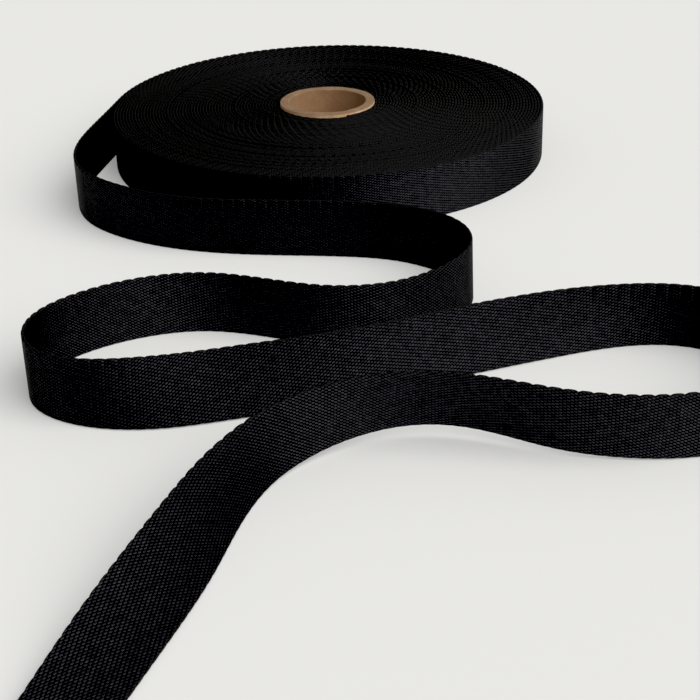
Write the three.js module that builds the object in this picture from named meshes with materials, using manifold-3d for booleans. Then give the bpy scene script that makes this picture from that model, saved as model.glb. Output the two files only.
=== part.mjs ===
// A flat roll of woven polyester webbing on a cardboard core. The last metre of the webbing has come
// off the roll and stands on its edge in wide bends, until it turns over and lies down at its cut end.
// Millimetres, +Z up. Everything rests on the plane z = 0, and the origin is the middle of the footprint.

import * as THREE from 'three';
import { mergeVertices } from 'three/addons/utils/BufferGeometryUtils.js';
import Module from 'manifold-3d';

// The webbing
const webbingWidth = 25;
const webbingThickness = 1.45;

// The roll. The last turn comes off it on the left, the first turn starts at the front of the core.
const rollRadius = 107.35;
const lastTurnLeavesAt = THREE.MathUtils.degToRad(170);
const firstTurnStartsAt = THREE.MathUtils.degToRad(-70);
const firstTurnClimb = 0.18; // share of the first turn in which the second climbs over its cut end

// The core, a wound cardboard tube that stands a little proud of the webbing
const coreOuterRadius = 23.5;
const coreBoreRadius = 19;
const coreHeight = 26;
const coreRimRounding = 0.4;

// Air between pieces that touch
const clearance = 0.3;

// Turns that stand proud of the roll's flat top, by their distance from its axis
const proudTurns = [
  { from: 30, to: 36.5, rise: 0.35 },
  { from: 44, to: 47, rise: 0.5 },
  { from: 58, to: 69, rise: 0.3 },
  { from: 77.5, to: 80.5, rise: 0.45 },
  { from: 90, to: 99, rise: 0.35 },
];

// The loose end, one row a section. x and y place its lower edge, from the roll's axis, lean tips the
// upper edge to the left of the way the webbing runs, in degrees, and lift holds the lower edge off
// the ground, where it doesn't stand on it.
const firstStretch = 27; // run from the roll to the first row, straight along the last turn's tangent
const sections = [
  // off the roll and round to its front
  { x: -114.5, y: -35, lean: 0 },
  { x: -116, y: -62, lean: 0 },
  { x: -107.5, y: -90, lean: 0 },
  { x: -92, y: -107.5, lean: 0 },
  // first run, to the right
  { x: -61, y: -125, lean: -1 },
  { x: -26, y: -133, lean: 2 },
  { x: 9, y: -137.5, lean: 2 },
  { x: 28, y: -143, lean: 3 },
  // first turn back
  { x: 42, y: -152.5, lean: 6 },
  { x: 54, y: -167.5, lean: 2 },
  { x: 56, y: -186, lean: -2 },
  { x: 46, y: -205, lean: -3 },
  // second run, to the left
  { x: 26.5, y: -218.5, lean: 0 },
  { x: 4, y: -221, lean: 2 },
  { x: -22, y: -212.5, lean: 3 },
  { x: -48, y: -205.5, lean: 2 },
  { x: -73, y: -210.5, lean: 1 },
  // second turn back
  { x: -92.5, y: -223, lean: 0 },
  { x: -105, y: -242, lean: 0 },
  { x: -102.5, y: -261.5, lean: 0 },
  { x: -84.5, y: -276.5, lean: 4 },
  // third run, to the right, tipped away from the front
  { x: -55, y: -280.5, lean: 23 },
  { x: -37, y: -277, lean: 28 },
  { x: -20, y: -272.5, lean: 23 },
  { x: 15, y: -261, lean: 14 },
  { x: 48.5, y: -248.5, lean: 20 },
  { x: 82.5, y: -236, lean: 13.5 },
  // third turn back
  { x: 100, y: -230.3, lean: 5 },
  { x: 125, y: -228.5, lean: -1 },
  { x: 147, y: -241, lean: 0 },
  { x: 157, y: -267, lean: 0 },
  { x: 148.5, y: -292, lean: 0 },
  { x: 125, y: -306.8, lean: 3 },
  // last run, to the left and off the ground, then to the front, where it turns over
  { x: 98.5, y: -308.8, lean: 7.5, lift: 0.4 },
  { x: 72, y: -303.3, lean: 10.5, lift: 1.9 },
  { x: 47, y: -293.7, lean: 17.5, lift: 4.5 },
  { x: 29, y: -291.4, lean: 17.5, lift: 5 },
  { x: 11.5, y: -295, lean: 11.5, lift: 4 },
  { x: -4, y: -303.4, lean: 2.5, lift: 2.3 },
  { x: -16.5, y: -316.2, lean: -7, lift: 0.6 },
  { x: -24, y: -332, lean: -18.5 },
  { x: -33, y: -366.6, lean: -43.5 },
  { x: -44, y: -400.5, lean: -67 },
  { x: -56, y: -434, lean: -85 },
  { x: -72, y: -480, lean: -89.5 },
];
const stationSpacing = 3.5;

const turnSegments = 120;
const coreSegments = 72;
const ringSegments = 96;

const webbing = new THREE.MeshStandardMaterial({ color: 0x101014, roughness: 0.75, metalness: 0 });
const looseWebbing = webbing.clone();
const cardboard = new THREE.MeshStandardMaterial({ color: 0xb89878, roughness: 0.9, metalness: 0 });

const wasm = await Module();
wasm.setup();

// A closed geometry as a solid that can be joined
function toSolid(geometry) {
  const plain = geometry.clone();
  plain.deleteAttribute('normal');
  plain.deleteAttribute('uv');
  const merged = mergeVertices(plain, 1e-4);
  return new wasm.Manifold(new wasm.Mesh({
    numProp: 3,
    vertProperties: new Float32Array(merged.attributes.position.array),
    triVerts: new Uint32Array(merged.index.array),
  }));
}

function toGeometry(solid) {
  const { vertProperties, triVerts } = solid.getMesh();
  const geometry = new THREE.BufferGeometry();
  geometry.setAttribute('position', new THREE.BufferAttribute(vertProperties, 3));
  geometry.setIndex(new THREE.BufferAttribute(triVerts, 1));
  geometry.computeVertexNormals();
  return geometry;
}

// One turn of a spiral as a flat outline: the radius follows radiusAt(0 to 1) over the full turn
function turnOutline(startAngle, radiusAt) {
  const points = [];
  for (let i = 0; i <= turnSegments; i += 1) {
    const along = i / turnSegments;
    const angle = startAngle + along * 2 * Math.PI;
    const radius = radiusAt(along);
    points.push(new THREE.Vector2(radius * Math.cos(angle), radius * Math.sin(angle)));
  }
  return points;
}

// A ring about the axis, from a closed section of [radius, height] pairs
function ring(section, segments) {
  const profile = section.map(([radius, height]) => new THREE.Vector2(radius, height));
  profile.push(profile[0].clone());
  return new THREE.LatheGeometry(profile, segments).rotateX(Math.PI / 2);
}

// The outside gains one thickness in its turn and ends in a step, where the last turn leaves.
// The hole keeps to the core, and opens by one thickness where the second turn covers the first's end.
function makeWoundRoll() {
  const gained = webbingThickness + clearance;
  const outside = turnOutline(lastTurnLeavesAt, (along) => rollRadius - gained * (1 - along));
  const hole = turnOutline(firstTurnStartsAt, (along) => {
    const climb = THREE.MathUtils.smoothstep(along, 1 - firstTurnClimb, 1);
    return coreOuterRadius + clearance + webbingThickness * climb;
  });
  const outline = new THREE.Shape(outside);
  outline.holes.push(new THREE.Path(hole));
  const flat = new THREE.ExtrudeGeometry(outline, { depth: webbingWidth, bevelEnabled: false });
  let solid = toSolid(flat);
  for (const { from, to, rise } of proudTurns) {
    const top = webbingWidth + rise;
    const root = webbingWidth - 1;
    solid = solid.add(toSolid(ring([[from, root], [to, root], [to, top], [from, top]], ringSegments)));
  }
  return toGeometry(solid);
}

function makeCore() {
  const rim = coreRimRounding;
  return ring([
    [coreBoreRadius, 0],
    [coreOuterRadius, 0],
    [coreOuterRadius, coreHeight - rim],
    [coreOuterRadius - rim, coreHeight],
    [coreBoreRadius + rim, coreHeight],
    [coreBoreRadius, coreHeight - rim],
  ], coreSegments);
}

// Natural cubic spline through values at knots: it keeps its curvature smooth and ends without any
function naturalSpline(knots, values) {
  const last = knots.length - 1;
  const second = new Array(last + 1).fill(0);
  const carried = new Array(last + 1).fill(0);
  for (let i = 1; i < last; i += 1) {
    const before = knots[i] - knots[i - 1];
    const after = knots[i + 1] - knots[i];
    const share = before / (before + after);
    const pivot = share * second[i - 1] + 2;
    const slopeChange = (values[i + 1] - values[i]) / after - (values[i] - values[i - 1]) / before;
    second[i] = (share - 1) / pivot;
    carried[i] = (6 * slopeChange / (before + after) - share * carried[i - 1]) / pivot;
  }
  second[last] = 0;
  for (let i = last - 1; i >= 0; i -= 1) {
    second[i] = second[i] * second[i + 1] + carried[i];
  }
  return (knot) => {
    let i = 0;
    while (i < last - 1 && knot > knots[i + 1]) i += 1;
    const span = knots[i + 1] - knots[i];
    const b = (knot - knots[i]) / span;
    const a = 1 - b;
    const curve = (a * a * a - a) * second[i] + (b * b * b - b) * second[i + 1];
    return a * values[i] + b * values[i + 1] + curve * span * span / 6;
  };
}

// The rows of the loose end, with the two that tie it to the roll's last turn in front of them
function looseEndRows() {
  const middle = rollRadius - webbingThickness / 2;
  const start = new THREE.Vector2(middle * Math.cos(lastTurnLeavesAt), middle * Math.sin(lastTurnLeavesAt));
  const along = new THREE.Vector2(-Math.sin(lastTurnLeavesAt), Math.cos(lastTurnLeavesAt));
  const root = start.clone().addScaledVector(along, clearance);
  const next = start.clone().addScaledVector(along, firstStretch);
  return [{ x: root.x, y: root.y, lean: 0 }, { x: next.x, y: next.y, lean: 0 }, ...sections];
}

// Evenly spaced stations along the spline through the rows, each with its heading
function looseEndStations() {
  const rows = looseEndRows();
  const knots = [0];
  for (let i = 1; i < rows.length; i += 1) {
    knots.push(knots[i - 1] + Math.hypot(rows[i].x - rows[i - 1].x, rows[i].y - rows[i - 1].y));
  }
  const end = knots[knots.length - 1];
  const xAt = naturalSpline(knots, rows.map((row) => row.x));
  const yAt = naturalSpline(knots, rows.map((row) => row.y));
  const leanAt = naturalSpline(knots, rows.map((row) => row.lean));
  const liftAt = naturalSpline(knots, rows.map((row) => row.lift ?? 0));
  const count = Math.round(end / stationSpacing);
  const stations = [];
  for (let i = 0; i <= count; i += 1) {
    const knot = end * i / count;
    const ahead = Math.min(knot + 0.5, end);
    const behind = Math.max(knot - 0.5, 0);
    const heading = Math.atan2(yAt(ahead) - yAt(behind), xAt(ahead) - xAt(behind));
    const lean = THREE.MathUtils.degToRad(leanAt(knot));
    const foot = new THREE.Vector3(xAt(knot), yAt(knot), Math.max(liftAt(knot), 0));
    stations.push({ foot, heading, lean });
  }
  return stations;
}

// The loose end is a slab whose sections are carried along the stations. A section that leans is
// raised by what its lower corner would otherwise sink.
function makeLooseEnd() {
  const stations = looseEndStations();
  const steps = stations.length - 1;
  const geometry = new THREE.BoxGeometry(1, 1, 1, steps, 1, 1);
  const position = geometry.attributes.position;
  const point = new THREE.Vector3();
  for (let i = 0; i < position.count; i += 1) {
    const station = stations[Math.round((position.getX(i) + 0.5) * steps)];
    const { foot, heading, lean } = station;
    const left = new THREE.Vector3(-Math.sin(heading), Math.cos(heading), 0);
    const up = left.clone().multiplyScalar(Math.sin(lean)).setZ(Math.cos(lean));
    const across = left.clone().multiplyScalar(Math.cos(lean)).setZ(-Math.sin(lean));
    point.copy(foot);
    point.z += webbingThickness / 2 * Math.abs(Math.sin(lean));
    point.addScaledVector(up, (position.getZ(i) + 0.5) * webbingWidth);
    point.addScaledVector(across, position.getY(i) * webbingThickness);
    position.setXYZ(i, point.x, point.y, point.z);
  }
  return geometry;
}

function piece(name, geometry, material) {
  const mesh = new THREE.Mesh(geometry, material);
  mesh.name = name;
  return mesh;
}

const spool = new THREE.Group();
spool.add(piece('core', makeCore(), cardboard));
spool.add(piece('wound_roll', makeWoundRoll(), webbing));
spool.add(piece('loose_end', makeLooseEnd(), looseWebbing));

// The origin goes to the middle of the footprint
const middle = new THREE.Box3().setFromObject(spool).getCenter(new THREE.Vector3());
spool.position.set(-middle.x, -middle.y, 0);

export default spool;
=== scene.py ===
import math

import bpy
import numpy as np
from mathutils import Matrix, Vector


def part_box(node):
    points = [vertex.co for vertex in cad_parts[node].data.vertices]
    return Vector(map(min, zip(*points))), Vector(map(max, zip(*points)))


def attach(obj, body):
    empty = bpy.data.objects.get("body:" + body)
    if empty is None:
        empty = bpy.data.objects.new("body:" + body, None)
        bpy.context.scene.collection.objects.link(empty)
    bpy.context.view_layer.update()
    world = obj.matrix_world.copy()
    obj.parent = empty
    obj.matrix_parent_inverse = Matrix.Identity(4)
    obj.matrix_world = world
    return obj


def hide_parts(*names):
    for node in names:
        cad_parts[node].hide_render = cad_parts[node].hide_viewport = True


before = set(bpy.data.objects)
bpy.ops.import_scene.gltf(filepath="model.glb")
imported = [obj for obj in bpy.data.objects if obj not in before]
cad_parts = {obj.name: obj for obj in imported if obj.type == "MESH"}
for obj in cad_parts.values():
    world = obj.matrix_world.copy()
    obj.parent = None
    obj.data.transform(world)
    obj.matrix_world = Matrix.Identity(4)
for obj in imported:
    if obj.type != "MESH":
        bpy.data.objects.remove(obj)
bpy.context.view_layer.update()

mm = 0.001  # shapes are worked out in millimetres and put into their meshes in metres
dice = np.random.default_rng(25)  # one seeded source, so that every run is the same

coreLow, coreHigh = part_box("core")
axis = (coreLow + coreHigh) / 2 / mm  # the roll's axis in millimetres, the centre of every shape below
axis.z = 0
print("frame loaded, roll's axis at", [round(x, 2) for x in axis])


def linear(colour):
    # sRGB hex to the linear red, green, blue and alpha that shaders take
    parts = [int(colour[i:i + 2], 16) / 255 for i in (1, 3, 5)]
    return tuple(c / 12.92 if c <= 0.04045 else ((c + 0.055) / 1.055) ** 2.4 for c in parts) + (1,)


def smooth(x):
    # 0 below 0, 1 above 1, and between them 3x squared less 2x cubed
    x = np.clip(x, 0, 1)
    return x * x * (3 - 2 * x)


def gridMesh(name, points, weave=None, closed=False):
    # points is rows by columns by 3, in millimetres from the foot of the roll's axis. The columns go
    # round a section and close on themselves. The rows close too, or each end is capped by faces that
    # bridge from column i to its mirror image.
    rows, columns = points.shape[:2]
    here = np.arange(rows * columns).reshape(rows, columns)
    rings = np.roll(here, -1, axis=0) if closed else here[1:]
    lower = here if closed else here[:-1]
    faces = [np.stack([lower, np.roll(lower, -1, 1), np.roll(rings, -1, 1), rings], -1).reshape(-1, 4)]
    if not closed:
        i = np.arange(columns // 2 - 1)
        bridge = np.stack([i, i + 1, columns - 2 - i, columns - 1 - i], -1)
        faces += [here[0][bridge[:, ::-1]], here[-1][bridge]]
    faces = np.concatenate(faces)
    mesh = bpy.data.meshes.new(name)
    mesh.vertices.add(rows * columns)
    mesh.vertices.foreach_set("co", ((points + np.array(axis)) * mm).astype(np.float32).ravel())
    mesh.loops.add(faces.size)
    mesh.loops.foreach_set("vertex_index", faces.astype(np.int32).ravel())
    mesh.polygons.add(len(faces))
    mesh.polygons.foreach_set("loop_start", np.arange(0, faces.size, 4, dtype=np.int32))
    mesh.update(calc_edges=True)
    mesh.shade_smooth()
    if weave is not None:  # millimetres along the webbing and up its face
        layer = mesh.uv_layers.new(name="weave")
        layer.uv.foreach_set("vector", weave.reshape(-1, 2)[faces.ravel()].astype(np.float32).ravel())
    piece = bpy.data.objects.new(name, mesh)
    bpy.context.scene.collection.objects.link(piece)
    print(name, "made,", 2 * len(faces), "triangles")
    return piece


def addNode(tree, kind, inputs=(), **settings):
    # A node with its settings, its sockets set or linked by name or number, and what it gives out.
    # MapRange takes 0 from the range 1 to 2 into the range 3 to 4.
    node = tree.nodes.new("ShaderNode" + kind)
    for key, value in settings.items():
        setattr(node, key, value)
    for socket, value in dict(inputs).items():
        if isinstance(value, bpy.types.NodeSocket):
            tree.links.new(value, node.inputs[socket])
        else:
            node.inputs[socket].default_value = value
    return node.outputs


def newMaterial(name):
    # An empty material and its nodes
    material = bpy.data.materials.new(name)
    material.use_nodes = True
    material.node_tree.nodes.clear()
    return material, material.node_tree


# The webbing: one strip of woven polyester, 25 mm wide, a two-over, two-under twill
webbing = {
    "width": 25,
    "thickness": 1.45,
    "edgeRise": 0.7,  # height over which a free edge rounds in to its crown
    "pressedRise": 0.35,  # the same where turn lies against turn
    "faceInset": 0.5,  # from the rounding to the first row of points on the face
    "pick": 1.15,  # from one weft thread to the next, along the webbing
    "stationsPerPick": 3,  # on the last turn and the loose end
    "ribPitch": 1.18,  # from one slanting row of floats to the next, up the face
    "floatLength": 1.45,
    "floatWidth": 0.82,
    "floatTurn": 22,  # degrees that the floats tip up from the webbing's length
    "repeatPicks": 4,  # picks until the twill meets the edge again
    "scallop": 0.75,  # depth of the dips along the upper edge, on the side of the catch loops
    "otherSide": 0.1,  # share of that depth on the other side
    "scallopSkew": 0.1,  # how far the scallops lean along the webbing
    "scallopSpread": 0.2,  # by which single scallops differ in depth
    "scallopCount": 8192,  # more than 25 m of webbing has
    "lowerScallop": 0.12,  # depth of the dips along the lower edge
    "bead": 0.03,  # bead of each pick at the edge
    "edgeZone": 2.2,  # width over which the scallops fade out
}


def webbingSection(edgeSteps, faceSteps, rise):
    # Half of the outline: a quarter ellipse out of the lower crown, the face, and a quarter ellipse in
    # to the upper crown. The other half mirrors it. Gives across, height and weave height, the last
    # measured round the outline so that the weave runs over the edges without stretching.
    half = webbing["thickness"] / 2
    turn = (np.arange(edgeSteps) + 0.5) / (edgeSteps - 0.5) * np.pi / 2
    lowAcross, lowHeight = half * np.sin(turn), rise * (1 - np.cos(turn))
    inset = rise + webbing["faceInset"]
    face = np.linspace(inset, webbing["width"] - inset, faceSteps)
    across = np.r_[lowAcross, np.full(faceSteps, half), lowAcross[::-1]]
    height = np.r_[lowHeight, face, webbing["width"] - lowHeight[::-1]]
    run = np.r_[0, np.cumsum(np.hypot(np.diff(across), np.diff(height)))]
    weave = run - run[edgeSteps] + height[edgeSteps]
    return np.r_[across, -across[::-1]], np.r_[height, height[::-1]], np.r_[weave, weave[::-1]]


# A share of the depth for each scallop, in turn along the webbing
scallopDepths = dice.uniform(1 - webbing["scallopSpread"], 1 + webbing["scallopSpread"],
                             webbing["scallopCount"])


def edgeDip(along, depth):
    # Round scallops with a narrow dip between two: depth times one less the size of a sine, leaning a
    # little to one side, and a cosine bead for each pick
    repeats = along / (webbing["pick"] * webbing["repeatPicks"])
    share = scallopDepths[np.round(repeats).astype(int) % len(scallopDepths)]
    bead = webbing["bead"] * (0.5 - 0.5 * np.cos(2 * np.pi * along / webbing["pick"]))
    leaning = repeats + webbing["scallopSkew"] * np.sin(2 * np.pi * repeats)
    return depth * share * (1 - np.abs(np.sin(np.pi * leaning))) + bead


def standWebbing(name, along, foot, heading, lean, section, rise=None, ending=None):
    # Carries the outline along the stations. A point is the foot, plus its height times up, plus its
    # across times over. left is square to the heading on the ground, and lean turns up and over about
    # the heading, as the CAD solid does. The scallops lower the upper edge and lift the lower one, rise
    # lifts the upper edge, and ending is the share of the thickness that is left at each station.
    across, height, weaveHeight = section
    width, zone = webbing["width"], webbing["edgeZone"]
    left = np.stack([-np.sin(heading), np.cos(heading), np.zeros_like(heading)], -1)
    level = np.array([0, 0, 1])
    up = left * np.sin(lean)[:, None] + level * np.cos(lean)[:, None]
    over = left * np.cos(lean)[:, None] - level * np.sin(lean)[:, None]
    catchSide = 0.5 - across / webbing["thickness"]
    upper = smooth((height - width + zone) / zone)
    dipped = upper * (webbing["otherSide"] + (1 - webbing["otherSide"]) * catchSide)
    lower = smooth((zone - height) / zone)
    rise = 0 * along if rise is None else rise
    tall = height + np.multiply.outer(rise, upper)
    tall = tall - np.multiply.outer(edgeDip(along, webbing["scallop"]), dipped)
    tall = tall + np.multiply.outer(edgeDip(along, webbing["lowerScallop"]), lower)
    thick = across if ending is None else across * ending[:, None]
    points = foot[:, None] + up[:, None] * tall[..., None] + over[:, None] * (thick + 0 * tall)[..., None]
    weave = np.stack(np.broadcast_arrays(along[:, None], weaveHeight), -1)
    return gridMesh(name, points, weave)


# The roll: a spiral that starts at the front of the core and leaves the roll on its left
roll = {
    "radius": 107.35,
    "startsAt": -70,  # degrees, 0 to the right and counter-clockwise from above
    "endsAt": 170,
    "fullTurns": 56,
    "slack": 0.15,  # air between the core and the first turn
    "climb": 0.18,  # the last share of a turn, in which it climbs over the first turn's cut end
    "climbFades": 5,  # turns in which that bump fades
    "step": webbing["pick"],  # from station to station
    "parts": ["turns_inner", "turns_second", "turns_third", "turns_outer"],
    # turns that stand proud of the roll's flat top, by their distance from its axis, in millimetres
    "proud": [(30, 36.5, 0.35), (44, 47, 0.5), (58, 69, 0.3), (77.5, 80.5, 0.45), (90, 99, 0.35)],
    "proudSide": 1.5,  # width over which such a band rises
    "unevenPitches": [0.37, 0.61, 1.43, 2.71],  # in turns
    "uneven": 0.22,  # the most that the flat top sways up or down
    "spiralSteps": 240000,  # in which the length of the spiral is added up
}

turnCount = roll["fullTurns"] + (roll["endsAt"] - roll["startsAt"]) / 360
innerRadius = (coreHigh.x - coreLow.x) / 2 / mm + roll["slack"]
turnPitch = (roll["radius"] - innerRadius) / (turnCount + 1)


def spiralRadius(turns):
    # The middle of the webbing's thickness. It keeps to the turn below, and at the end of a turn climbs
    # one pitch, over the first turn's cut end. Further out that climb spreads until the spiral is even.
    part = turns % 1
    climb = smooth((part - 1 + roll["climb"]) / roll["climb"])
    fading = np.exp(-turns / roll["climbFades"])
    return innerRadius + turnPitch * (turns - part + part * (1 - fading) + climb * fading + 0.5)


unevenStarts = dice.uniform(0, 2 * np.pi, len(roll["unevenPitches"]))


def uneven(turns):
    # The mean of a few sines of different lengths, each with its own chance start
    waves = [np.sin(2 * np.pi * turns / p + s) for p, s in zip(roll["unevenPitches"], unevenStarts)]
    return roll["uneven"] * sum(waves) / len(waves)


def topRise(turns, radius):
    # The proud bands, with soft sides, and a slow sway that differs from turn to turn
    side = roll["proudSide"]
    bands = sum(rise * smooth((radius - low) / side) * smooth((high - radius) / side)
                for low, high, rise in roll["proud"])
    return bands + uneven(turns)


# The length of the spiral up to many places on it: the sum of each step's mean radius times its angle
denseTurns = np.linspace(0, turnCount, roll["spiralSteps"] + 1)
denseRadius = spiralRadius(denseTurns)
denseSteps = (denseRadius[1:] + denseRadius[:-1]) / 2 * np.diff(denseTurns) * 2 * np.pi
denseRun = np.r_[0, np.cumsum(denseSteps)]
woundLength = denseRun[-1]
print("webbing on the roll:", round(woundLength / 1000, 2), "m in", round(turnCount, 1),
      "turns,", round(turnPitch, 3), "mm each")


def makeTurns(name, fromAlong, toAlong, step, section):
    # along is 0 where the webbing leaves the roll and falls towards the core. The foot goes round the
    # axis at the spiral's radius, and the heading is square to that radius.
    along = np.arange(round(fromAlong / step), round(toAlong / step) + 1) * step
    turns = np.interp(along + woundLength, denseRun, denseTurns)
    angle = np.radians(roll["startsAt"]) + turns * 2 * np.pi
    radius = spiralRadius(turns)
    foot = np.stack([radius * np.cos(angle), radius * np.sin(angle), np.zeros_like(angle)], -1)
    piece = standWebbing(name, along, foot, angle + np.pi / 2, np.zeros_like(angle), section,
                         topRise(turns, radius))
    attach(piece, "root")
    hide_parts("wound_roll")
    return piece


coarse = webbingSection(edgeSteps=3, faceSteps=2, rise=webbing["pressedRise"])
lastTurnAt = np.interp(turnCount - 1, denseTurns, denseRun) - woundLength
partEnds = np.linspace(-woundLength + roll["step"], lastTurnAt, len(roll["parts"]) + 1)
woundPieces = [makeTurns(name, partEnds[i], partEnds[i + 1], roll["step"], coarse)
               for i, name in enumerate(roll["parts"])]
fine = webbingSection(edgeSteps=5, faceSteps=4, rise=webbing["edgeRise"])
fineStep = webbing["pick"] / webbing["stationsPerPick"]
woundPieces.append(makeTurns("last_turn", partEnds[-1], 0, fineStep, fine))

# The loose end, the same rows as in the CAD source: x and y of the lower edge from the roll's axis, lean
# in degrees, to the left of the way the webbing runs, and lift off the ground
loose = {
    "firstStretch": 27,  # straight off the roll
    "roundedEnd": 1.2,  # the cut end is rounded over this length
    "endThickness": 0.5,  # to this share of the thickness
    "routeSteps": 20000,  # in which the length of the route is added up
    "headingReach": 0.25,  # a heading is read from the route this far ahead and behind
    "rows": [
        (-114.5, -35, 0, 0), (-116, -62, 0, 0), (-107.5, -90, 0, 0), (-92, -107.5, 0, 0),
        # first run, to the right
        (-61, -125, -1, 0), (-26, -133, 2, 0), (9, -137.5, 2, 0), (28, -143, 3, 0),
        # first turn back
        (42, -152.5, 6, 0), (54, -167.5, 2, 0), (56, -186, -2, 0), (46, -205, -3, 0),
        # second run, to the left
        (26.5, -218.5, 0, 0), (4, -221, 2, 0), (-22, -212.5, 3, 0), (-48, -205.5, 2, 0),
        (-73, -210.5, 1, 0),
        # second turn back
        (-92.5, -223, 0, 0), (-105, -242, 0, 0), (-102.5, -261.5, 0, 0), (-84.5, -276.5, 4, 0),
        # third run, to the right, tipped away from the front
        (-55, -280.5, 23, 0), (-37, -277, 28, 0), (-20, -272.5, 23, 0), (15, -261, 14, 0),
        (48.5, -248.5, 20, 0), (82.5, -236, 13.5, 0),
        # third turn back
        (100, -230.3, 5, 0), (125, -228.5, -1, 0), (147, -241, 0, 0), (157, -267, 0, 0),
        (148.5, -292, 0, 0), (125, -306.8, 3, 0),
        # last run, to the left and off the ground, then to the front, where it turns over
        (98.5, -308.8, 7.5, 0.4), (72, -303.3, 10.5, 1.9), (47, -293.7, 17.5, 4.5), (29, -291.4, 17.5, 5),
        (11.5, -295, 11.5, 4), (-4, -303.4, 2.5, 2.3), (-16.5, -316.2, -7, 0.6), (-24, -332, -18.5, 0),
        (-33, -366.6, -43.5, 0), (-44, -400.5, -67, 0), (-56, -434, -85, 0), (-72, -480, -89.5, 0),
    ],
}


def naturalSpline(knots, values):
    # Pieces of third degree whose bend is even across each knot and none at the two ends. The bends
    # at the knots solve a three-banded system. Gives a function of a whole array.
    span = np.diff(knots)
    slope = np.diff(values, axis=0) / span[:, None]
    bands = np.diag(np.r_[1, 2 * (span[:-1] + span[1:]), 1])
    bands += np.diag(np.r_[span[:-1], 0], -1) + np.diag(np.r_[0, span[1:]], 1)
    none = np.zeros((1, values.shape[1]))
    bend = np.linalg.solve(bands, np.concatenate([none, 6 * np.diff(slope, axis=0), none]))

    def at(knot):
        i = np.clip(np.searchsorted(knots, knot) - 1, 0, len(span) - 1)
        b = ((knot - knots[i]) / span[i])[:, None]
        a = 1 - b
        curve = (a ** 3 - a) * bend[i] + (b ** 3 - b) * bend[i + 1]
        return a * values[i] + b * values[i + 1] + curve * span[i, None] ** 2 / 6

    return at


def makeLooseWebbing():
    # The rows become one smooth curve over the lengths of their chords, walked in even steps. Where the
    # webbing leans, its foot is lifted by half its thickness times the sine of the lean. Near the cut
    # end its thickness falls as part of an ellipse.
    leaves = np.radians(roll["endsAt"])
    start = (roll["radius"] - webbing["thickness"] / 2) * np.array([np.cos(leaves), np.sin(leaves)])
    onward = loose["firstStretch"] * np.array([-np.sin(leaves), np.cos(leaves)])
    rows = np.array([(*start, 0, 0), (*(start + onward), 0, 0)] + loose["rows"], float)
    knots = np.r_[0, np.cumsum(np.hypot(*np.diff(rows[:, :2], axis=0).T))]
    route = naturalSpline(knots, rows)
    dense = np.linspace(0, knots[-1], loose["routeSteps"] + 1)
    run = np.r_[0, np.cumsum(np.hypot(*np.diff(route(dense)[:, :2], axis=0).T))]
    along = np.arange(int(run[-1] / fineStep) + 1) * fineStep
    knot = np.interp(along, run, dense)
    x, y, lean, lift = route(knot).T
    ahead = route(np.minimum(knot + loose["headingReach"], knots[-1]))
    behind = route(np.maximum(knot - loose["headingReach"], 0))
    heading = np.unwrap(np.arctan2(*(ahead - behind)[:, 1::-1].T))
    lean = np.radians(lean)
    ground = np.maximum(lift, 0) + webbing["thickness"] / 2 * np.abs(np.sin(lean))
    nearEnd = 1 - np.clip((along[-1] - along) / loose["roundedEnd"], 0, 1)
    ending = np.sqrt(1 - (1 - loose["endThickness"] ** 2) * nearEnd ** 2)
    piece = standWebbing("loose_webbing", along, np.stack([x, y, ground], -1), heading, lean, fine,
                         ending=ending)
    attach(piece, "root")
    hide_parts("loose_end")
    return piece, along[-1]


looseWebbing, looseLength = makeLooseWebbing()
print("loose webbing:", round(looseLength / 1000, 3), "m")

# The core: a tube wound from kraft board
core = {
    "outer": (coreHigh.x - coreLow.x) / 2 / mm,
    "wall": 4.5,
    "height": (coreHigh.z - coreLow.z) / mm,
    "plies": 9,
    "plyGroove": 0.09,  # depth of the line between two plies on the rim
    "rimRounding": 0.45,
    "belowRim": 0.3,  # from the rounding down to the walls' first row of points
    "footChamfer": (0.3, 0.4),  # outwards and up, where the bore meets the foot
    # dents of the rim: waves round it, radians a millimetre outwards, start and size of each sine
    "dents": [(3, 0, 1, 1), (7, 1, 0, 1), (19, 2, 0, 0.5)],
    "dentDepth": 0.12,
    "dentBias": 1.2,  # so that the dents go deeper than the rim stands out between them
    "dentReach": 3,  # height over which they fade out
    "segments": 420,
    "pointsPerPly": 4,
    "boreRows": 14,
    "outsideRows": 6,
}


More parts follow.
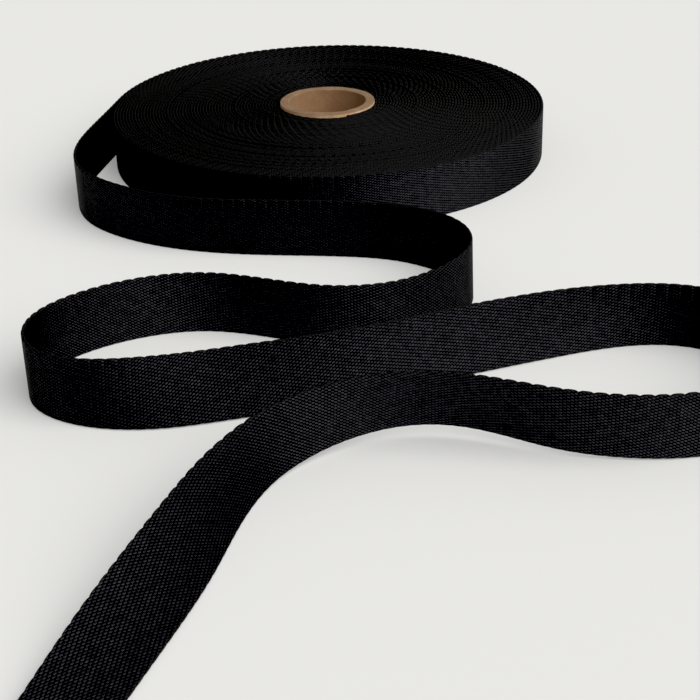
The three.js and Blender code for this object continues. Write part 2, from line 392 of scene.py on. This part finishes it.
def makeCore():
    # The profile goes up the bore, out across the rim, down the outside and back along the foot. Each
    # point is a radius and a height, and the ring turns it about the axis. The rim is a quarter circle
    # at each edge, less a squared cosine for each ply, and near it a sum of sines dents the height.
    bore, outer, top = core["outer"] - core["wall"], core["outer"], core["height"]
    rounding, wallTop = core["rimRounding"], top - core["rimRounding"] - core["belowRim"]
    footOut, footUp = core["footChamfer"]
    rimShare = np.linspace(0, 1, core["plies"] * core["pointsPerPly"] + 1)
    rimRadius = bore + core["wall"] * rimShare
    edge = np.minimum(rimRadius - bore, outer - rimRadius)
    rimHeight = top - rounding * (1 - np.sqrt(1 - (1 - np.clip(edge / rounding, 0, 1)) ** 2))
    betweenPlies = 0.5 + 0.5 * np.cos(2 * np.pi * rimShare * core["plies"])
    rimHeight = rimHeight - core["plyGroove"] * betweenPlies ** 2
    up = np.linspace(footUp, wallTop, core["boreRows"])
    down = np.linspace(wallTop, 0, core["outsideRows"])
    radius = np.r_[np.full(len(up), bore), rimRadius, np.full(len(down), outer), bore + footOut]
    height = np.r_[up, rimHeight, down, 0]
    angle = np.linspace(0, 2 * np.pi, core["segments"], endpoint=False)
    angles, radii = np.meshgrid(angle, radius, indexing="ij")
    heights = np.broadcast_to(height, radii.shape).copy()
    nearTop = smooth((heights - top + core["dentReach"]) / core["dentReach"])
    dents = sum(size * np.sin(waves * angles + outwards * radii + start)
                for waves, outwards, start, size in core["dents"])
    dents = (dents - core["dentBias"]) / sum(row[-1] for row in core["dents"])
    heights += nearTop * core["dentDepth"] * dents
    points = np.stack([radii * np.cos(angles), radii * np.sin(angles), heights], -1)
    piece = gridMesh("core_tube", points, closed=True)
    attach(piece, "root")
    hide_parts("core")
    return piece


coreTube = makeCore()

# The webbing's finish
weaveLook = {
    "thread": "#08080b",  # dyed black
    "edgeThread": "#282828",  # looser and matt, so a little lighter
    "edgeBand": (0.7, 0.3),  # millimetres in from an edge where its loops begin and where they close it
    "edgeCover": 0.75,  # share of the gaps that the edge's loops fill
    "edgeShine": 0.15,
    "shadedGap": "#010102",  # painted shade between the floats, where little light gets out again
    # painted shade in the shine: the gaps keep only this share of it
    "shadedGapShine": 0.12,
    "floatSide": (1.1, 0.55),  # where it begins and ends, in squared shares of half the float's size
    "floatHeight": 0.25,  # millimetres
    "floatArch": 0.25,  # how much less a float bends along itself than across
    "floatTilt": 0.14,  # by which single floats lean, as a share of their height
    "specular": 0.52,  # of a float's shiny filaments
    "specularSpread": 0.24,  # by which single floats differ
    "patchScale": 0.3,  # patches of slightly other shine in a millimetre
    "patchNoise": (0.3, 0.7),  # the noise values that get the least and the most shine
    "patchSpread": 0.12,
    "grazing": (0.33, 0.68),  # where the shine falls off, from 0, facing the viewer, to 1, edge on
    "grazingShine": 0.2,
    "roughness": 0.6,
    "ior": 1.54,
    "stretch": 0.9,  # filaments spread a highlight across themselves
    "stretchTurn": 0.25,  # of a full turn from the webbing's length
    "castTint": "#f5f4ff",  # the bluish cast of black polyester
}


def wovenPolyester():
    # Black polyester webbing woven as a two-by-two twill of shiny filament yarn: small oval floats in
    # slanting rows, each with its own glint, and gaps between them painted near black and nearly without
    # shine, as painted shade. The glint is stretched across the filaments. It reads millimetres along and
    # up the webbing.
    material, tree = newMaterial("wovenPolyester")
    look, halfWidth = weaveLook, webbing["width"] / 2
    rowPitch, pickPitch = webbing["ribPitch"], webbing["pick"]
    slant = 1 / webbing["repeatPicks"]
    place = addNode(tree, "UVMap", uv_map="weave")["UV"]
    row = addNode(tree, "VectorMath", {0: place, 1: (slant / pickPitch, 1 / rowPitch, 0)},
                  operation="DOT_PRODUCT")["Value"]
    pick = addNode(tree, "VectorMath", {0: place, 1: (1 / pickPitch, 0, 0)},
                   operation="DOT_PRODUCT")["Value"]
    # The float that a point belongs to, chance numbers from -0.5 to 0.5 for it, and the place within it
    lattice = addNode(tree, "CombineXYZ", {0: row, 1: pick})[0]
    which = addNode(tree, "VectorMath", {0: lattice}, operation="FLOOR")[0]
    chance = addNode(tree, "TexWhiteNoise", {"Vector": which}, noise_dimensions="2D")["Color"]
    chance = addNode(tree, "VectorMath", {0: chance, 1: (0.5, 0.5, 0.5)}, operation="SUBTRACT")[0]
    part = addNode(tree, "VectorMath", {0: lattice}, operation="FRACTION")[0]
    part = addNode(tree, "VectorMath", {0: part, 1: (0.5, 0.5, 0)}, operation="SUBTRACT")[0]
    # From row and pick to distances along and across a float, as shares of half its length and width
    turn = math.radians(webbing["floatTurn"])
    cosTurn, sinTurn = math.cos(turn), math.sin(turn)
    lengthwise = (rowPitch * sinTurn, pickPitch * cosTurn - slant * rowPitch * sinTurn)
    widthwise = (rowPitch * cosTurn, -pickPitch * sinTurn - slant * rowPitch * cosTurn)
    lengthwise = [2 * x / webbing["floatLength"] for x in lengthwise]
    widthwise = [2 * x / webbing["floatWidth"] for x in widthwise]
    onLength = addNode(tree, "VectorMath", {0: part, 1: (*lengthwise, 0)},
                       operation="DOT_PRODUCT")["Value"]
    onWidth = addNode(tree, "VectorMath", {0: part, 1: (*widthwise, 0)},
                      operation="DOT_PRODUCT")["Value"]
    oval = addNode(tree, "CombineXYZ", {0: onLength, 1: onWidth})[0]
    away = addNode(tree, "VectorMath", {0: oval, 1: oval}, operation="DOT_PRODUCT")["Value"]
    onFloat = addNode(tree, "MapRange", {0: away, 1: look["floatSide"][0], 2: look["floatSide"][1]},
                      interpolation_type="SMOOTHSTEP")[0]
    # A float's height: one less the square of the distance from its middle, and a chance tilt
    bent = addNode(tree, "VectorMath", {0: oval, 1: (look["floatArch"] ** 0.5, 1, 0)},
                   operation="MULTIPLY")[0]
    bent = addNode(tree, "VectorMath", {0: bent, 1: bent}, operation="DOT_PRODUCT")["Value"]
    dome = addNode(tree, "Math", {0: 1, 1: bent}, operation="SUBTRACT")[0]
    tilt = addNode(tree, "VectorMath", {0: chance, 1: oval}, operation="DOT_PRODUCT")["Value"]
    height = addNode(tree, "Math", {0: tilt, 1: look["floatTilt"] * 2, 2: dome},
                     operation="MULTIPLY_ADD")[0]
    # Both edges are closed by looser loops, duller than the face
    upFace = addNode(tree, "SeparateXYZ", {0: place})[1]
    offMiddle = addNode(tree, "Math", {0: upFace, 1: halfWidth}, operation="SUBTRACT")[0]
    offMiddle = addNode(tree, "Math", {0: offMiddle}, operation="ABSOLUTE")[0]
    bandFrom, bandTo = (halfWidth - x for x in look["edgeBand"])
    onEdge = addNode(tree, "MapRange", {0: offMiddle, 1: bandFrom, 2: bandTo})[0]
    edgeShine = addNode(tree, "MapRange", {0: onEdge, 3: 1, 4: look["edgeShine"]})[0]
    # How much a float shines, each for itself and in patches some millimetres wide
    single = addNode(tree, "SeparateXYZ", {0: chance})[2]
    spread, (least, most) = look["patchSpread"], look["patchNoise"]
    patches = addNode(tree, "TexNoise", {"Vector": place, "Scale": look["patchScale"], "Detail": 3})[0]
    patches = addNode(tree, "MapRange", {0: patches, 1: least, 2: most, 3: 1 - spread, 4: 1 + spread})[0]
    shine = addNode(tree, "Math", {0: single, 1: look["specularSpread"] * 2, 2: patches},
                    operation="MULTIPLY_ADD")[0]
    shine = addNode(tree, "Math", {0: shine, 1: look["specular"]}, operation="MULTIPLY")[0]
    # Threads cover a float and part of an edge, and the rest is gap, painted in shade: darker and with less
    # shine
    covered = addNode(tree, "Math", {0: onEdge, 1: look["edgeCover"]}, operation="MULTIPLY")[0]
    covered = addNode(tree, "Math", {0: onFloat, 1: covered}, operation="MAXIMUM")[0]
    coverShine = addNode(tree, "MapRange", {0: covered, 3: look["shadedGapShine"], 4: 1})[0]
    shine = addNode(tree, "Math", {0: shine, 1: coverShine}, operation="MULTIPLY")[0]
    shine = addNode(tree, "Math", {0: shine, 1: edgeShine}, operation="MULTIPLY")[0]
    # Seen nearly along the cloth, the floats hide each other's shine
    facing = addNode(tree, "LayerWeight", {"Blend": 0.5})["Facing"]
    grazing = addNode(tree, "MapRange", {0: facing, 1: look["grazing"][0], 2: look["grazing"][1],
                                         3: 1, 4: look["grazingShine"]})[0]
    shine = addNode(tree, "Math", {0: shine, 1: grazing}, operation="MULTIPLY")[0]
    yarn = addNode(tree, "Mix", {0: onEdge, 6: linear(look["thread"]), 7: linear(look["edgeThread"])},
                   data_type="RGBA")[2]
    colour = addNode(tree, "Mix", {0: covered, 6: linear(look["shadedGap"]), 7: yarn}, data_type="RGBA")[2]
    relief = addNode(tree, "Bump", {"Height": height, "Distance": look["floatHeight"] * mm})[0]
    along = addNode(tree, "Tangent", direction_type="UV_MAP", uv_map="weave")[0]
    shader = addNode(tree, "BsdfPrincipled", {
        "Base Color": colour, "Roughness": look["roughness"], "Normal": relief, "IOR": look["ior"],
        "Specular IOR Level": shine, "Specular Tint": linear(look["castTint"]),
        "Anisotropic": look["stretch"], "Anisotropic Rotation": look["stretchTurn"],
        "Tangent": along})[0]
    addNode(tree, "OutputMaterial", {"Surface": shader})
    return material


# The core's finish
boardLook = {
    "board": "#c9a079",
    "light": "#ddbb95",
    "fibreScale": 0.9,  # fibres in a millimetre, coarser than real ones so that they show
    "fibreShare": 0.6,  # of the fibres in the tone, with softer clouds for the rest
    "cloudScale": 0.16,
    "toneNoise": (0.4, 0.6),  # the noise values that get the board's and the light colour
    "rimShade": "#a2a0a0",  # painted shade: the rim is made darker and greyer by this share
    "rimShadeBand": (0.7, 0.3),  # millimetres below the top where the rim's painted shade begins and is full
    "glueLine": "#6a4a30",
    "plyLine": 0.22,  # half the width of the line between two plies, as a share of a ply
    "plyLineShare": 0.75,  # of the glue's colour in it
    "seamRise": 0.8,  # millimetres up for each millimetre round the bore
    "seamWidth": 0.35,
    "seamShare": 0.5,  # of the glue's colour in it
    "roughness": 0.88,
    "fibre": 0.03,  # millimetres of relief
}


def kraftCardboard():
    # Grey-brown kraft board, wound and glued ply on ply: matt, with paper fibres in it, and a dark glue
    # line between the plies on its rim. It reads Object coordinates, centred on the tube's axis.
    material, tree = newMaterial("kraftCardboard")
    look, bore, top = boardLook, core["outer"] - core["wall"], core["height"]
    place = addNode(tree, "TexCoord")["Object"]
    place = addNode(tree, "Mapping", {"Vector": place, "Location": tuple(-x * mm for x in axis)})[0]
    place = addNode(tree, "VectorMath", {0: place, "Scale": 1 / mm}, operation="SCALE")[0]  # to millimetres
    flat = addNode(tree, "VectorMath", {0: place, 1: (1, 1, 0)}, operation="MULTIPLY")[0]
    radius = addNode(tree, "VectorMath", {0: flat}, operation="LENGTH")["Value"]
    ply = addNode(tree, "MapRange", {0: radius, 1: bore, 2: core["outer"], 3: 0, 4: core["plies"]},
                  clamp=False)[0]
    nearest = addNode(tree, "Math", {0: ply, 1: 1}, operation="PINGPONG")[0]
    line = addNode(tree, "MapRange", {0: nearest, 1: look["plyLine"], 2: 0, 3: 0, 4: look["plyLineShare"]},
                   interpolation_type="SMOOTHSTEP")[0]
    fibres = addNode(tree, "TexNoise", {"Vector": place, "Scale": look["fibreScale"], "Detail": 6,
                                        "Roughness": 0.65})[0]
    clouds = addNode(tree, "TexNoise", {"Vector": place, "Scale": look["cloudScale"], "Detail": 2})[0]
    tone = addNode(tree, "Math", {0: fibres, 1: look["fibreShare"]}, operation="MULTIPLY")[0]
    tone = addNode(tree, "Math", {0: clouds, 1: 1 - look["fibreShare"], 2: tone},
                   operation="MULTIPLY_ADD")[0]
    tone = addNode(tree, "MapRange", {0: tone, 1: look["toneNoise"][0], 2: look["toneNoise"][1]})[0]
    colour = addNode(tree, "Mix", {0: tone, 6: linear(look["board"]), 7: linear(look["light"])},
                     data_type="RGBA")[2]
    height = addNode(tree, "SeparateXYZ", {0: place})[2]
    # Painted shade: the rim and the top of both walls are darkened and greyed
    bandFrom, bandTo = (top - x for x in look["rimShadeBand"])
    rimShadeMask = addNode(tree, "MapRange", {0: height, 1: bandFrom, 2: bandTo})[0]
    colour = addNode(tree, "Mix", {0: rimShadeMask, 6: colour, 7: linear(look["rimShade"])}, data_type="RGBA",
                     blend_type="MULTIPLY")[2]
    # The seam of the paper strip winds up the bore: how far round it a point is, less its height over
    # the seam's rise, folded at half of the bore's girth
    x, y = addNode(tree, "SeparateXYZ", {0: flat})[:2]
    turned = addNode(tree, "Math", {0: y, 1: x}, operation="ARCTAN2")[0]
    girth = addNode(tree, "Math", {0: turned, 1: bore}, operation="MULTIPLY")[0]
    seam = addNode(tree, "Math", {0: height, 1: -1 / look["seamRise"], 2: girth},
                   operation="MULTIPLY_ADD")[0]
    seam = addNode(tree, "Math", {0: seam, 1: math.pi * bore / 2}, operation="PINGPONG")[0]
    seam = addNode(tree, "MapRange", {0: seam, 1: look["seamWidth"], 2: 0, 3: 0, 4: look["seamShare"]})[0]
    offRim = addNode(tree, "Math", {0: 1, 1: rimShadeMask}, operation="SUBTRACT")[0]
    seam = addNode(tree, "Math", {0: seam, 1: offRim}, operation="MULTIPLY")[0]
    colour = addNode(tree, "Mix", {0: seam, 6: colour, 7: linear(look["glueLine"])}, data_type="RGBA")[2]
    colour = addNode(tree, "Mix", {0: line, 6: colour, 7: linear(look["glueLine"])}, data_type="RGBA")[2]
    relief = addNode(tree, "Bump", {"Height": fibres, "Distance": look["fibre"] * mm})[0]
    shader = addNode(tree, "BsdfPrincipled", {
        "Base Color": colour, "Roughness": look["roughness"], "Normal": relief})[0]
    addNode(tree, "OutputMaterial", {"Surface": shader})
    return material


polyester = wovenPolyester()
for piece in woundPieces + [looseWebbing]:
    piece.data.materials.append(polyester)
coreTube.data.materials.append(kraftCardboard())
print("finishes on")

# The studio: a pale table top, a soft light from the front right, a weak one from the back right, a
# pale sky and the camera
studio = {
    "floorSize": 60,  # metres
    "floorColour": "#c8c8c6",
    "floorRoughness": 0.7,
    "floorSpecular": 0.1,
    "floorGlow": 0.21,  # a lit table, which keeps the shades on it soft
    "skyColour": "#f1f1f1",
    "skyStrength": 0.3,
    # soft suns: name, strength, width in degrees, degrees to the right of the camera's side, degrees up
    "lights": [("frontRight", 3.05, 68, 52, 48, "#fffefc"), ("backRight", 0.18, 50, 132, 28, "#fffefc")],
    "exposure": 0.05,
    "blackPoint": 0.014,  # the photo's contrast, in which dark cloth goes nearly to black
    "sensor": 36,  # millimetres
    "lens": 77.14,
    "sight": (0.01, 100),  # metres, the nearest and the farthest that the camera sees
    "lookDown": 26.69,  # degrees
    "tilt": -1.62,  # degrees about the line of sight
    "cameraPlace": (7.8, -721.475, 249.55),  # millimetres from the foot of the roll's axis
}


def makeFloor():
    # Painted board, pale and nearly matt, which gives soft shades and hardly a reflection
    size = studio["floorSize"]
    mesh = bpy.data.meshes.new("floor")
    corners = [(x * size / 2, y * size / 2, 0) for x, y in ((-1, -1), (1, -1), (1, 1), (-1, 1))]
    mesh.from_pydata(corners, [], [(0, 1, 2, 3)])
    floor = bpy.data.objects.new("floor", mesh)
    bpy.context.scene.collection.objects.link(floor)
    material, tree = newMaterial("paintedTable")
    shader = addNode(tree, "BsdfPrincipled", {
        "Base Color": linear(studio["floorColour"]), "Roughness": studio["floorRoughness"],
        "Specular IOR Level": studio["floorSpecular"],
        "Emission Color": linear("#ffffff"), "Emission Strength": studio["floorGlow"]})[0]
    addNode(tree, "OutputMaterial", {"Surface": shader})
    mesh.materials.append(material)


def makeLights():
    # Each light is a sun with a wide disc, and the sky fills in
    for name, strength, width, side, up, colour in studio["lights"]:
        data = bpy.data.lights.new(name, "SUN")
        data.energy, data.angle = strength, math.radians(width)
        data.color = linear(colour)[:3]
        light = bpy.data.objects.new(name, data)
        light.rotation_euler = (math.radians(90 - up), 0, math.radians(side))
        bpy.context.scene.collection.objects.link(light)
    world = bpy.data.worlds.new("softSky")
    world.use_nodes = True
    background = world.node_tree.nodes["Background"]
    background.inputs[0].default_value = linear(studio["skyColour"])
    background.inputs[1].default_value = studio["skyStrength"]
    bpy.context.scene.world = world


def makeCamera():
    # It looks level to the back, is turned down, and is tilted about its line of sight
    data = bpy.data.cameras.new("camera")
    data.sensor_width, data.lens = studio["sensor"], studio["lens"]
    data.clip_start, data.clip_end = studio["sight"]
    camera = bpy.data.objects.new("camera", data)
    look = Matrix.Rotation(math.radians(90 - studio["lookDown"]), 4, "X")
    tilt = Matrix.Rotation(math.radians(studio["tilt"]), 4, "Z")
    camera.matrix_world = Matrix.Translation((Vector(studio["cameraPlace"]) + axis) * mm) @ look @ tilt
    bpy.context.scene.collection.objects.link(camera)
    bpy.context.scene.camera = camera


makeFloor()
makeLights()
makeCamera()
view = bpy.context.scene.view_settings
view.view_transform, view.exposure, view.use_curve_mapping = "Standard", studio["exposure"], True
view.curve_mapping.black_level = [studio["blackPoint"]] * 3
print("studio ready")
